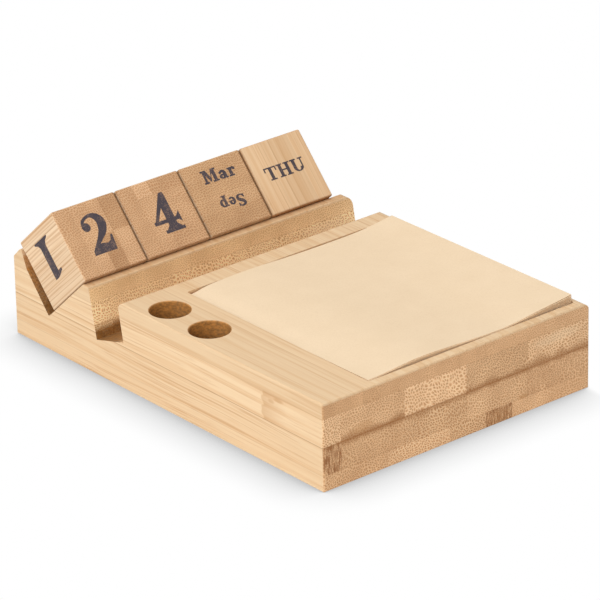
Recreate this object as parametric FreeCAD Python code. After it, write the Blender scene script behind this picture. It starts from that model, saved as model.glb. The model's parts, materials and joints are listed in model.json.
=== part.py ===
import FreeCAD, Part
import math
import os

# Perpetual desk calendar of glue-laminated bamboo, in millimetres.
# X runs along the front edge, Y from the front edge to the back, Z up.
# The pieces are modelled from the block's front left bottom corner, and export_piece moves
# them so that the origin is the centre of the base.

# Boards: two boards are glued one on the other, and each has a thin outer ply and a thick core
board_height = 15.0
top_ply = 5.3
bottom_ply = 5.5

# Strips that each ply is glued up from: the widths of the first and the last strip, and how many
# equal strips share the rest of the block's width. The cores of both boards are sawn alike.
top_first_strip = 16.4
top_last_strip = 19.3
top_middle_strips = 3
core_first_strip = 7.3
core_last_strip = 26.6
core_middle_strips = 3
bottom_first_strip = 25.9
bottom_last_strip = 7.4
bottom_middle_strips = 3

# Memo sheets and the pocket that they lie in
sheet_width = 85.0
sheet_depth = 88.1
sheet_clearance = 0.4
sheet_curl = 3.3
loose_sheets = 3.0
pocket_depth = 17.5
pocket_corner = 1.0
pocket_front_wall = 2.9
pocket_side_wall = 3.9
pocket_back_wall = 9.3

# Margin on the left, with the two pen holes
pen_margin = 21.0
pen_hole_diameter = 13.4
pen_hole_depth = 20.0
pen_hole_lip = 0.3
pen_hole_inset = 8.7
pen_hole_from_slot = 16.2
pen_hole_spacing = 20.0
pen_hole_count = 2

# Phone slot, which leans back
slot_width = 14.6
slot_depth = 17.4
slot_lean = 11.0
slot_floor_tilt = 15.0

# Date blocks, all sawn from one bar and eased
date_bar = 25.4
date_block_cut = 24.4
date_block_width = 25.5
date_block_ease = 0.6
date_block_gap = 0.6
date_row_inset = 0.1
seat_clearance = 0.1

# V groove that the date blocks lie in, and the rim behind it
ridge_land = 2.8
groove_slope = 42.7
block_overhang = 1.9
groove_relief = 3.8
groove_back_slope = 49.6
groove_knee_below_top = 4.8
rim_clearance = 0.6
rim_rise = 1.9
rim_chamfer = 4.6

# Rounded edges
edge_ease = 0.5
plan_corner = 0.8
slot_mouth_round = 2.5
end_round = 3.6
rim_ease = 0.7
rim_back_round = 3.0
back_foot_round = 1.4

# Sizes that follow
block_height = 2 * board_height
rim_height = block_height + rim_rise
pocket_width = sheet_width + 2 * sheet_clearance
pocket_length = sheet_depth + 2 * sheet_clearance
pocket_back = pocket_front_wall + pocket_length
pocket_floor = block_height - pocket_depth
block_width = pen_margin + pocket_width + pocket_side_wall

lean = math.tan(math.radians(slot_lean))
slot_mouth_front = pocket_back + pocket_back_wall
slot_mouth_back = slot_mouth_front + slot_width / math.cos(math.radians(slot_lean))
slot_foot_back = slot_mouth_back - slot_depth * lean
slot_foot_z = block_height - slot_depth

slope_cos = math.cos(math.radians(groove_slope))
slope_sin = math.sin(math.radians(groove_slope))
groove_edge = slot_mouth_back + ridge_land
seat_end = date_block_cut - block_overhang
apex_reach = seat_end + groove_relief
apex_y = groove_edge + apex_reach * slope_cos
apex_z = block_height - apex_reach * slope_sin
knee_z = block_height - groove_knee_below_top
knee_y = apex_y + (knee_z - apex_z) / math.tan(math.radians(groove_back_slope))
rim_reach = seat_end + rim_clearance
rim_rise_on_face = (rim_rise + rim_reach * slope_sin) / slope_cos
rim_y = groove_edge + rim_reach * slope_cos + rim_rise_on_face * slope_sin
block_depth = rim_y + rim_chamfer

vector = FreeCAD.Vector


def rounded_face(corners, to_point):
    """A face inside straight sides that meet at (u, v, radius) corners."""
    points = [vector(u, v, 0) for u, v, radius in corners]
    arcs = []
    for i, (u, v, radius) in enumerate(corners):
        corner = points[i]
        side_in = points[i - 1] - corner
        side_out = points[(i + 1) % len(points)] - corner
        half = side_in.getAngle(side_out) / 2
        reach = min(radius / math.tan(half), 0.45 * side_in.Length, 0.45 * side_out.Length)
        side_in.normalize()
        side_out.normalize()
        start = corner + side_in * reach
        end = corner + side_out * reach
        middle = corner + (side_in + side_out).normalize() * (
            reach / math.cos(half) - reach * math.tan(half))
        arcs.append((start, middle, end))
    edges = []
    for i, (start, middle, end) in enumerate(arcs):
        if corners[i][2] > 0:
            edges.append(Part.Arc(*[to_point(p.x, p.y) for p in (start, middle, end)]).toShape())
        following = arcs[(i + 1) % len(arcs)][0]
        edges.append(Part.makeLine(to_point(end.x, end.y), to_point(following.x, following.y)))
    return Part.Face(Part.Wire(edges))


def box(x_range, y_range, z_range):
    """A box between two values along each axis."""
    low, high = zip(x_range, y_range, z_range)
    return Part.makeBox(high[0] - low[0], high[1] - low[1], high[2] - low[2], vector(*low))


def side_profile():
    """The block seen from its left end: slot, ridge, V groove and rim, along its whole width."""
    wall_lean = math.radians(slot_lean)
    tilt = math.tan(math.radians(slot_floor_tilt))
    # the slot's floor rises from the foot of the ridge to the front wall
    floor_run = (slot_foot_back - slot_mouth_front + slot_depth * lean) / (1 + tilt * math.tan(wall_lean))
    corners = [
        (0, 0, edge_ease),
        (block_depth, 0, back_foot_round),
        (block_depth, rim_height - rim_chamfer, rim_back_round),
        (rim_y, rim_height, rim_ease),
        (knee_y, knee_z, rim_back_round),
        (apex_y, apex_z, edge_ease),
        (groove_edge, block_height, edge_ease),
        (slot_mouth_back, block_height, edge_ease),
        (slot_foot_back, slot_foot_z, 0),
        (slot_foot_back - floor_run, slot_foot_z + floor_run * tilt, 0),
        (slot_mouth_front, block_height, slot_mouth_round),
        (0, block_height, edge_ease),
    ]
    face = rounded_face(corners, lambda y, z: vector(0, y, z))
    return face.extrude(vector(block_width, 0, 0))


def envelope(top):
    """The block's outside up to a top face, with its right end rounded over."""
    end_corners = [
        (0, 0, edge_ease),
        (block_width, 0, edge_ease),
        (block_width, top, end_round),
        (0, top, edge_ease),
    ]
    end = rounded_face(end_corners, lambda x, z: vector(x, 0, z)).extrude(vector(0, block_depth, 0))
    plan_corners = [
        (0, 0, plan_corner),
        (block_width, 0, plan_corner),
        (block_width, block_depth, plan_corner),
        (0, block_depth, plan_corner),
    ]
    plan = rounded_face(plan_corners, lambda x, y: vector(x, y, 0)).extrude(vector(0, 0, top))
    return end.common(plan)


def memo_pocket():
    """The square pocket for the memo sheets, open at the top."""
    left = pen_margin
    right = pen_margin + pocket_width
    corners = [
        (left, pocket_front_wall, pocket_corner),
        (right, pocket_front_wall, pocket_corner),
        (right, pocket_back, pocket_corner),
        (left, pocket_back, pocket_corner),
    ]
    face = rounded_face(corners, lambda x, y: vector(x, y, pocket_floor))
    return face.extrude(vector(0, 0, rim_height))


def pen_hole(index):
    """One blind pen hole with a broken edge at its mouth."""
    radius = pen_hole_diameter / 2
    y = slot_mouth_front - pen_hole_from_slot - index * pen_hole_spacing
    bottom = vector(pen_hole_inset, y, block_height - pen_hole_depth)
    hole = Part.makeCylinder(radius, pen_hole_depth + rim_height, bottom)
    lip_foot = vector(pen_hole_inset, y, block_height - pen_hole_lip)
    lip = Part.makeCone(radius, radius + 2 * pen_hole_lip, 2 * pen_hole_lip, lip_foot)
    return hole.fuse(lip)


def carved_block(top):
    """The whole glued block with every cut made, before it is taken apart into strips."""
    block = side_profile().common(envelope(top)).cut(memo_pocket())
    for index in range(pen_hole_count):
        block = block.cut(pen_hole(index))
    return block


def strip_edges(first_strip, last_strip, middle_strips):
    """Left and right edge of each strip across the block's width."""
    middle_width = (block_width - first_strip - last_strip) / middle_strips
    seams = [first_strip + number * middle_width for number in range(middle_strips + 1)]
    return list(zip([0.0] + seams, seams + [block_width]))


def cut_strips(block, ply, strips, y_range, z_range, zone):
    """Cut one ply of one zone of the block into its strips, as named solids."""
    pieces = {}
    for number, x_range in enumerate(strip_edges(*strips), start=1):
        solids = block.common(box(x_range, y_range, z_range)).Solids
        solids.sort(key=lambda solid: solid.CenterOfMass.y)
        for order, solid in enumerate(solids):
            part_of_strip = zone
            if len(solids) > 1:
                part_of_strip = ("front_wall", "back_wall")[order]
            pieces["%s_strip_%d_%s" % (ply, number, part_of_strip)] = solid
    return pieces


def upper_board():
    """Strips of the upper board, which the slot and the groove cut into three zones."""
    top_strips = (top_first_strip, top_last_strip, top_middle_strips)
    core_strips = (core_first_strip, core_last_strip, core_middle_strips)
    core_top = block_height - top_ply
    slot_middle = (slot_mouth_front + slot_mouth_back) / 2
    low_block = carved_block(block_height)
    high_block = carved_block(rim_height)
    zones = (
        ("pad_block", low_block, (0, slot_middle)),
        ("ridge", low_block, (slot_middle, apex_y)),
        ("rim", high_block, (apex_y, block_depth)),
    )
    pieces = {}
    for zone, block, y_range in zones:
        pieces.update(cut_strips(block, "top_ply", top_strips, y_range, (core_top, rim_height), zone))
        pieces.update(cut_strips(block, "upper_core", core_strips, y_range, (board_height, core_top), zone))
    return pieces


def lower_board():
    """Strips of the lower board, which run unbroken from front to back."""
    core_strips = (core_first_strip, core_last_strip, core_middle_strips)
    bottom_strips = (bottom_first_strip, bottom_last_strip, bottom_middle_strips)
    whole = (0, block_depth)
    block = carved_block(block_height)
    pieces = cut_strips(block, "lower_core", core_strips, whole, (bottom_ply, board_height), "base")
    pieces.update(cut_strips(block, "bottom_ply", bottom_strips, whole, (0, bottom_ply), "base"))
    return pieces


def date_block(left):
    """One date block, lying on the groove's front slope with its left side at a given X."""
    shape = Part.makeBox(date_block_width, date_block_cut, date_bar)
    shape = shape.makeFillet(date_block_ease, shape.Edges)
    shape.rotate(vector(0, 0, 0), vector(1, 0, 0), -groove_slope)
    along = -block_overhang
    shape.translate(vector(
        left,
        groove_edge + along * slope_cos + seat_clearance * slope_sin,
        block_height - along * slope_sin + seat_clearance * slope_cos))
    return shape


def date_row():
    """The four date blocks side by side, from the row's left end."""
    pieces = {}
    left = date_row_inset
    for name in ("tens_block", "units_block", "month_block", "weekday_block"):
        pieces[name] = date_block(left)
        left += date_block_width + date_block_gap
    return pieces


def memo_sheets():
    """The flat stack of sheets in the pocket, and the loose top sheets that curl up at the right."""
    left = pen_margin + sheet_clearance
    front = pocket_front_wall + sheet_clearance
    right = left + sheet_width
    back = front + sheet_depth
    loose_foot = block_height - loose_sheets
    stack = box((left, right), (front, back), (pocket_floor, loose_foot))

    # flush with the block's top at the left, then a smooth rise to the right
    curl = Part.BSplineCurve()
    steps = 6
    rise = []
    for step in range(steps + 1):
        share = step / steps
        rise.append(vector(left + share * sheet_width, front, block_height + sheet_curl * share ** 1.5))
    curl.interpolate(rise)
    low_left = vector(left, front, loose_foot)
    low_right = vector(right, front, loose_foot)
    outline = Part.Wire([
        Part.makeLine(low_left, rise[0]),
        curl.toShape(),
        Part.makeLine(rise[-1], low_right),
        Part.makeLine(low_right, low_left),
    ])
    loose = Part.Face(outline).extrude(vector(0, sheet_depth, 0))
    return {"memo_stack": stack, "memo_loose_sheets": loose}


def export_piece(name, shape):
    """Move a piece so that the origin is the centre of the base, and write it."""
    placed = shape.copy()
    placed.translate(vector(-block_width / 2, -block_depth / 2, 0))
    placed.exportStep(os.path.join("parts", name + ".step"))


os.makedirs("parts", exist_ok=True)
for make_pieces in (lower_board, upper_board, date_row, memo_sheets):
    for piece_name, piece_shape in make_pieces().items():
        export_piece(piece_name, piece_shape)
print("block %.1f x %.1f x %.1f" % (block_width, block_depth, rim_height))
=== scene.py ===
"""Looks of the bamboo desk calendar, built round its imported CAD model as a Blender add-on."""

import json
import math
import random

import bpy
from bpy.props import FloatProperty, FloatVectorProperty, IntProperty, PointerProperty
from mathutils import Matrix, Vector
from mathutils.geometry import delaunay_2d_cdt


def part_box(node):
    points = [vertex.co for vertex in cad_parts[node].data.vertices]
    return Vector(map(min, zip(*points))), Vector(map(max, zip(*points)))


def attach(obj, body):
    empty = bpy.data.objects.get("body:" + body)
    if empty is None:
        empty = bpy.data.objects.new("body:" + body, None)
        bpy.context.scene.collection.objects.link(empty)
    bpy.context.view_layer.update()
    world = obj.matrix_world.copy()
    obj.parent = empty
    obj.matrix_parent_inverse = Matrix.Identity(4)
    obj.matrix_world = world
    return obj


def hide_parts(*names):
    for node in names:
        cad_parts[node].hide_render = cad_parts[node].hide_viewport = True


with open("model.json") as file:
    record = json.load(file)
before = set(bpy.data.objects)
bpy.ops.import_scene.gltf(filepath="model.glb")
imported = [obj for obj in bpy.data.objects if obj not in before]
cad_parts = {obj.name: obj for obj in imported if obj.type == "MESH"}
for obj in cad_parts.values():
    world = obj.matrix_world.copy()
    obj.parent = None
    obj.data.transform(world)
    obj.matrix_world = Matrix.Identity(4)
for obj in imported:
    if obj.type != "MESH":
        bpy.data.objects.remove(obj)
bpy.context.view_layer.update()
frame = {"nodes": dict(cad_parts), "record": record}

bl_info = {
    "name": "Bamboo Desk Calendar",
    "version": (1, 0, 0),
    "blender": (4, 5, 0),
    "location": "View3D > Sidebar > Desk Calendar",
    "description": "Finishes the bamboo block, its date blocks, the printed dates and the memo sheets",
    "category": "Object",
}

# One millimetre, in metres
MM = 0.001

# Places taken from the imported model, in metres

block_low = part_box("bottom_ply_strip_1_base")[0]
block_left = block_low.x
block_front = block_low.y
block_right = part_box("bottom_ply_strip_5_base")[1].x
board_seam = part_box("lower_core_strip_1_base")[1].z
block_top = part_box("top_ply_strip_1_pad_block")[1].z

# The date blocks lie on the front slope of the V groove
GROOVE_SLOPE = math.radians(42.7)
BLOCK_CUT = 24.4 * MM
BLOCK_BAR = 25.4 * MM
BLOCK_EASE = 0.6 * MM
ALONG_ROW = Vector((1, 0, 0))
DOWN_SLOPE = Vector((0, math.cos(GROOVE_SLOPE), -math.sin(GROOVE_SLOPE)))
OFF_SLOPE = Vector((0, math.sin(GROOVE_SLOPE), math.cos(GROOVE_SLOPE)))

# The hollows that a router cut, in millimetres from the block's front left corner
PEN_HOLES = ((8.7, 84.9), (8.7, 64.9))
PEN_HOLE_RADIUS = 6.7
SLOT_FRONT = 101.1
SLOT_BACK = 116.0
GROOVE_FRONT = 118.8
GROOVE_BACK = 151.0


def linear(hex_colour):
    """An sRGB hex colour as the linear values that a shader takes."""
    channels = [int(hex_colour[i:i + 2], 16) / 255 for i in (1, 3, 5)]
    return tuple(c / 12.92 if c <= 0.04045 else ((c + 0.055) / 1.055) ** 2.4 for c in channels) + (1.0,)


# ---------------------------------------------------------------- settings

COLOUR = {"subtype": "COLOR", "size": 4, "min": 0, "max": 1}
DISTANCE = {"subtype": "DISTANCE", "unit": "LENGTH"}
ANGLE = {"subtype": "ANGLE", "unit": "ROTATION"}


class BambooSettings(bpy.types.PropertyGroup):
    """Colours and grain of the glued bamboo."""
    side_pale: FloatVectorProperty(
        name="Side grain, pale", description="Pith between the fibres, seen along the grain",
        **COLOUR, default=linear("#F6D8B0"))
    side_tan: FloatVectorProperty(
        name="Side grain, tan", description="Broad darker bands, seen along the grain",
        **COLOUR, default=linear("#EDC99D"))
    side_line: FloatVectorProperty(
        name="Side grain, line", description="Single fibre bundles, seen along the grain",
        **COLOUR, default=linear("#C48F5A"))
    end_pale: FloatVectorProperty(
        name="End grain, pale", description="Pith that nets round the fibre bundles on a cut end",
        **COLOUR, default=linear("#F9D3A4"))
    end_tan: FloatVectorProperty(
        name="End grain, tan", description="Wood round a fibre bundle on a cut end",
        **COLOUR, default=linear("#E1AE7D"))
    end_bundle: FloatVectorProperty(
        name="End grain, bundle", description="Fibre bundles, seen as dots on a cut end",
        **COLOUR, default=linear("#935A28"))
    skin: FloatVectorProperty(
        name="Skin side", description="Dense outer side of a strip, beside the glue seam",
        **COLOUR, default=linear("#965C22"))
    # painted shade: the colour that the walls of the pen holes, the slot and the V groove are darkened
    # towards
    hollow_shade: FloatVectorProperty(
        name="Shaded walls", description="Shadowed walls of the pen holes, the slot and the V groove",
        **COLOUR, default=linear("#B17631"))
    bundle_spacing: FloatProperty(
        name="Bundle spacing", description="Distance between fibre bundles",
        **DISTANCE, default=0.82 * MM, min=0.3 * MM, max=4 * MM)
    roughness: FloatProperty(
        name="Roughness", description="Roughness of the sanded and oiled surface",
        subtype="FACTOR", default=0.58, min=0, max=1)


class PrintSettings(bpy.types.PropertyGroup):
    """Size and ink of the printed dates."""
    ink: FloatVectorProperty(
        name="Ink", description="Colour of the printed numerals and letters",
        **COLOUR, default=linear("#4C454B"))
    film: FloatProperty(
        name="Ink film", description="Thickness of the ink on the wood",
        **DISTANCE, default=0.04 * MM, min=0.01 * MM, max=0.3 * MM)
    numeral_height: FloatProperty(
        name="Numeral height", description="Height of a numeral",
        **DISTANCE, default=14.0 * MM, min=4 * MM, max=20 * MM)
    month_height: FloatProperty(
        name="Month height", description="Capital height of a month's name",
        **DISTANCE, default=4.5 * MM, min=2 * MM, max=8 * MM)
    weekday_height: FloatProperty(
        name="Weekday height", description="Capital height of a weekday's name",
        **DISTANCE, default=4.7 * MM, min=2 * MM, max=6 * MM)


class MemoSettings(bpy.types.PropertyGroup):
    """Paper and curl of the memo sheets."""
    paper: FloatVectorProperty(
        name="Paper", description="Colour of the unbleached paper",
        **COLOUR, default=linear("#F7DEBC"))
    edge: FloatVectorProperty(
        name="Paper edge", description="Colour of the cut edges of the sheets",
        **COLOUR, default=linear("#F4CDA2"))
    loose_sheets: IntProperty(
        name="Loose sheets", description="How many sheets curl up at the top of the pad",
        default=16, min=2, max=40)
    sheet_thickness: FloatProperty(
        name="Sheet thickness", description="Thickness of one sheet",
        **DISTANCE, default=0.19 * MM, min=0.05 * MM, max=0.5 * MM)


class StageSettings(bpy.types.PropertyGroup):
    """Camera and lamps."""
    camera_place: FloatVectorProperty(
        name="Camera place", description="Where the camera stands",
        subtype="TRANSLATION", unit="LENGTH", size=3,
        default=(block_left - 797.76 * MM, block_front - 962.12 * MM, 637.14 * MM))
    camera_turn: FloatProperty(
        name="Camera turn", description="Direction of view, clockwise from the block's +Y",
        **ANGLE, default=math.radians(39.39))
    camera_dip: FloatProperty(
        name="Camera dip", description="How far the camera looks down",
        **ANGLE, default=math.radians(24.60))
    camera_roll: FloatProperty(
        name="Camera roll", description="Tilt of the camera about its line of sight",
        **ANGLE, default=math.radians(-1.23))
    focal_length: FloatProperty(
        name="Focal length", description="Lens, for a 36 mm wide sensor",
        unit="CAMERA", default=275.85, min=20, max=800)
    daylight: FloatProperty(
        name="Daylight", description="Strength of the even light from all round",
        default=0.47, min=0, max=2)
    overhead: FloatProperty(
        name="Overhead softbox", description="Power of the softbox above the block",
        unit="POWER", default=4.4, min=0, max=50)
    side_light: FloatProperty(
        name="Left softbox", description="Power of the softbox at the left",
        unit="POWER", default=7.6, min=0, max=50)


# ---------------------------------------------------------------- materials

def add_node(tree, kind, settings=(), inputs=(), stops=(), steps=False):
    """Add a node with its settings, its inputs as values or links, and the stops of its ramp."""
    node = tree.nodes.new(kind)
    for name, value in dict(settings).items():
        setattr(node, name, value)
    for name, value in dict(inputs).items():
        if isinstance(value, bpy.types.NodeSocket):
            tree.links.new(value, node.inputs[name])
        else:
            node.inputs[name].default_value = value
    for number, (position, colour) in enumerate(stops):
        ramp = node.color_ramp
        ramp.interpolation = "CONSTANT" if steps else "LINEAR"
        stop = ramp.elements[number] if number < len(ramp.elements) else ramp.elements.new(position)
        stop.position = position
        stop.color = colour
    return node.outputs


# Tones that painted shade, wear, pores and fibres mix in
EDGE_SHADE = linear("#754715")
WORN_INK = linear("#8F7566")
PAPER_CLOUD = linear("#D9B98F")
PAPER_FIBRE = linear("#C9A477")
PAPER_GAP_SHADE = linear("#B98F63")

# Settings of the nodes that the materials use most
BLEND = {"data_type": "RGBA"}
SOFT_STEP = {"interpolation_type": "SMOOTHSTEP"}
SCALE = {"operation": "MULTIPLY"}
SHIFT = {"operation": "ADD"}
SCALE_AND_SHIFT = {"operation": "MULTIPLY_ADD"}
SIZE = {"operation": "ABSOLUTE"}
DIFFERENCE = {"operation": "SUBTRACT"}
LENGTH = {"operation": "LENGTH"}
NEAR = {"operation": "COMPARE"}
LARGER = {"operation": "MAXIMUM"}
EITHER = {"operation": "ADD", "use_clamp": True}


def new_surface(name):
    """A material with an empty node tree."""
    material = bpy.data.materials.new(name)
    material.use_nodes = True
    material.node_tree.nodes.clear()
    return material, material.node_tree


def dress(node_name, material):
    """Give a CAD node a material, through its object's slots."""
    for slot in frame["nodes"][node_name].material_slots:
        slot.link = "OBJECT"
        slot.material = material


class Strip:
    """How one strip of bamboo looks: how light it is and how its fibre bundles lie."""

    def __init__(self, left=1.0, right=None, side=1.0, bundles=0.6, spacing=1.0, bend=0.006, lean=0.0,
                 flow=1.0, net=1.7, lines=1.0, rings=0.0, streak=0.0, streak_from=-10.0, seam=0.0,
                 seam_reach=1.0, marks=(), knuckle=None, seed=0.0):
        # lightness of the cut end at the strip's left and right edges, and of its sides
        self.left = left
        self.right = left if right is None else right
        self.side = side
        # strength and spacing of the dots, and how their rows bend, lean and wander
        self.bundles = bundles
        self.spacing = spacing
        self.bend = bend
        self.lean = lean
        self.flow = flow
        # strength of the pale pith round the dots, as a share of theirs
        self.net = net
        # strength of the lines on the sides, and of even growth lines there
        self.lines = lines
        self.rings = rings
        # strength of upright streaks on the cut end, and the place in millimetres from which they run right
        self.streak = streak
        self.streak_from = streak_from
        # strength of the brown band beside the seam between the boards, and its height in millimetres
        self.seam = seam
        self.seam_reach = seam_reach
        # spots that are darker, or paler for a negative strength: a centre, three radii and a strength
        self.marks = marks
        # place of a joint of the cane, in millimetres from the front edge
        self.knuckle = knuckle
        # shifts the patterns, so that no two strips are alike
        self.seed = seed


def tone_tint(gain):
    """The factor for each colour channel that makes wood lighter, or darker and redder."""
    return (gain ** 0.8, gain, gain ** 1.25, 1.0)


def half_tint(gain):
    """Half of a tint, so that a ramp can hold tints up to 2."""
    return tuple(channel / 2 for channel in tone_tint(gain)[:3]) + (1.0,)


def toned(colour, gain):
    """A colour made lighter, or darker and redder."""
    return tuple(min(1.0, channel * factor) for channel, factor in zip(colour, tone_tint(gain)))


def swaying_fibres(tree, strip, mm):
    """Where a spot lies among the fibres, which sway, and among their rows, which wander."""
    # the fibres sway by a millimetre over the length of a strip, and their rows wander every 6 mm
    sway_at = add_node(tree, "ShaderNodeVectorMath", SCALE_AND_SHIFT,
                       {0: mm, 1: (0.05, 0.012, 0.05), 2: (strip.seed, 0.37 * strip.seed, 0)})[0]
    sway = add_node(tree, "ShaderNodeTexNoise", {}, {
        "Vector": sway_at, "Scale": 1.0, "Detail": 1.0})["Color"]
    sway = add_node(tree, "ShaderNodeVectorMath", SCALE_AND_SHIFT,
                    {0: sway, 1: (3.0, 0.0, 3.0), 2: (-1.5, 0.0, -1.5)})[0]
    wander_at = add_node(tree, "ShaderNodeVectorMath", SCALE_AND_SHIFT,
                         {0: mm, 1: (0.17, 0.006, 0.17), 2: (2.7 * strip.seed, strip.seed, 0)})[0]
    wander = add_node(tree, "ShaderNodeTexNoise", {}, {
        "Vector": wander_at, "Scale": 1.0, "Detail": 1.0})["Color"]
    reach = 3.4 * strip.flow
    wander = add_node(tree, "ShaderNodeVectorMath", SCALE_AND_SHIFT,
                      {0: wander, 1: (reach, 0.0, reach), 2: (-reach / 2, 0.0, -reach / 2)})[0]
    grain = add_node(tree, "ShaderNodeVectorMath", SHIFT, {0: mm, 1: sway})[0]
    row = add_node(tree, "ShaderNodeVectorMath", SHIFT, {0: grain, 1: wander})[0]
    row = add_node(tree, "ShaderNodeSeparateXYZ", {}, {"Vector": row})
    return grain, row


def fibre_bundles(tree, strip, row, across_grain):
    """The fibre bundles, as dots on a cut end, and the pith that nets round them."""
    look = bpy.context.scene.desk_calendar_bamboo
    # fibre bundles lie in shallow arcs about the middle of the cane
    left, right = across_grain
    off_centre = add_node(tree, "ShaderNodeMath", DIFFERENCE,
                          {0: row["X"], 1: (left + right) / 2})[0]
    arc = add_node(tree, "ShaderNodeMath", SCALE, {0: off_centre, 1: off_centre})[0]
    arc = add_node(tree, "ShaderNodeMath", SCALE_AND_SHIFT, {0: arc, 1: strip.bend, 2: row["Z"]})[0]
    arc = add_node(tree, "ShaderNodeMath", SCALE_AND_SHIFT, {0: off_centre, 1: strip.lean, 2: arc})[0]
    slant = add_node(tree, "ShaderNodeMath", SCALE_AND_SHIFT, {0: arc, 1: 0.35, 2: row["X"]})[0]
    bundle_at = add_node(tree, "ShaderNodeCombineXYZ", {}, {"X": slant, "Y": arc})[0]
    spread = {"Vector": bundle_at, "Scale": MM / (look.bundle_spacing * strip.spacing), "Randomness": 0.72}
    bundle = add_node(tree, "ShaderNodeTexVoronoi", {"feature": "F1", "voronoi_dimensions": "2D"},
                      spread)["Distance"]
    dots = add_node(tree, "ShaderNodeMapRange", SOFT_STEP,
                    {"Value": bundle, "From Min": 0.12, "From Max": 0.42, "To Min": 1.0, "To Max": 0.0})[0]
    # pith nets round the bundles in soft lines 0.3 mm wide
    net = add_node(tree, "ShaderNodeTexVoronoi", {"feature": "DISTANCE_TO_EDGE", "voronoi_dimensions": "2D"},
                   spread)["Distance"]
    net = add_node(tree, "ShaderNodeMapRange", SOFT_STEP,
                   {"Value": net, "From Min": 0.02, "From Max": 0.22, "To Min": 1.0, "To Max": 0.0})[0]
    return dots, net


def grain_patterns(tree, grain):
    """Bands, lines, dashes, blotches and pores, all drawn out along the fibres."""
    # bands 2 mm wide, lines 0.5 mm wide, dashes 16 mm long, blotches 8 mm wide and pores 0.4 mm wide
    patterns = []
    for per_mm, detail in (((0.55, 0.006, 0.55), 4.0), ((1.5, 0.014, 1.5), 3.0), ((1.9, 0.06, 1.9), 2.0),
                           ((0.12, 0.02, 0.12), 2.0), ((2.4, 0.2, 2.4), 3.0)):
        at = add_node(tree, "ShaderNodeVectorMath", SCALE, {0: grain, 1: per_mm})[0]
        noise = add_node(tree, "ShaderNodeTexNoise", {}, {"Vector": at, "Scale": 1.0, "Detail": detail})[0]
        patterns.append(noise)
    band, line, dash, blotch, pores = patterns
    band, line, dash = [
        add_node(tree, "ShaderNodeMapRange", SOFT_STEP, {"Value": wave, "From Min": low, "From Max": high})[0]
        for wave, low, high in ((band, 0.36, 0.66), (line, 0.54, 0.68), (dash, 0.56, 0.74))]
    return band, line, dash, blotch, pores


def side_grain(tree, strip, row, band, line, dash):
    """Colour of the wood where the surface runs along the fibres."""
    look = bpy.context.scene.desk_calendar_bamboo
    side = add_node(tree, "ShaderNodeMix", BLEND, {
        0: band, 6: toned(look.side_pale, strip.side), 7: toned(look.side_tan, strip.side)})[2]
    marking = add_node(tree, "ShaderNodeMath", SCALE, {0: line, 1: 0.38 * strip.lines})[0]
    marking = add_node(tree, "ShaderNodeMath", SCALE_AND_SHIFT,
                       {0: dash, 1: 0.20 * min(1.0, strip.lines), 2: marking})[0]
    if strip.rings:
        # growth lines about 1.3 mm apart, in bundles
        ring = add_node(tree, "ShaderNodeMath", SCALE, {0: row["Z"], 1: math.tau / 1.3})[0]
        ring = add_node(tree, "ShaderNodeMath", SCALE_AND_SHIFT, {0: band, 1: 4.0, 2: ring})[0]
        ring = add_node(tree, "ShaderNodeMath", {"operation": "SINE"}, {0: ring})[0]
        ring = add_node(tree, "ShaderNodeMapRange", SOFT_STEP, {
            "Value": ring, "From Min": 0.25, "From Max": 0.95, "To Min": 0.0, "To Max": strip.rings})[0]
        marking = add_node(tree, "ShaderNodeMath", SHIFT, {0: marking, 1: ring})[0]
    return add_node(tree, "ShaderNodeMix", BLEND, {0: marking, 6: side, 7: tuple(look.side_line)})[2]


def end_grain(tree, strip, here, grain, dots, net, pores, blotch):
    """Colour of the wood where the surface cuts across the fibres."""
    look = bpy.context.scene.desk_calendar_bamboo
    speck = add_node(tree, "ShaderNodeMapRange", {}, {
        "Value": pores, "From Min": 0.3, "From Max": 0.7,
        "To Min": 0.5 * strip.bundles, "To Max": 1.25 * strip.bundles})[0]
    speck = add_node(tree, "ShaderNodeMath", SCALE, {0: speck, 1: dots})[0]
    cloudy = add_node(tree, "ShaderNodeMapRange", {}, {
        "Value": blotch, "From Min": 0.3, "From Max": 0.7, "To Min": 0.0, "To Max": 0.22})[0]
    netted = add_node(tree, "ShaderNodeMath", SCALE, {0: net, 1: min(1.0, strip.net * strip.bundles)})[0]
    end = add_node(tree, "ShaderNodeMix", BLEND, {
        0: netted, 6: tuple(look.end_tan), 7: tuple(look.end_pale)})[2]
    end = add_node(tree, "ShaderNodeMix", BLEND, {0: speck, 6: end, 7: tuple(look.end_bundle)})[2]
    end = add_node(tree, "ShaderNodeMix", BLEND, {0: cloudy, 6: end, 7: tuple(look.end_bundle)})[2]
    if strip.streak:
        # bundles cut at a slant draw out into upright streaks 4 mm high
        streak_at = add_node(tree, "ShaderNodeVectorMath", SCALE, {0: grain, 1: (1.9, 0.01, 0.24)})[0]
        streak = add_node(tree, "ShaderNodeTexNoise", {}, {
            "Vector": streak_at, "Scale": 1.0, "Detail": 3.0})[0]
        streak = add_node(tree, "ShaderNodeMapRange", SOFT_STEP, {
            "Value": streak, "From Min": 0.40, "From Max": 0.60, "To Min": 0.0, "To Max": strip.streak})[0]
        reached = add_node(tree, "ShaderNodeMapRange", SOFT_STEP, {
            "Value": here["X"], "From Min": strip.streak_from - 0.8, "From Max": strip.streak_from + 0.8})[0]
        streak = add_node(tree, "ShaderNodeMath", SCALE, {0: streak, 1: reached})[0]
        end = add_node(tree, "ShaderNodeMix", BLEND, {0: streak, 6: end, 7: tuple(look.end_bundle)})[2]
    return end


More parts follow.
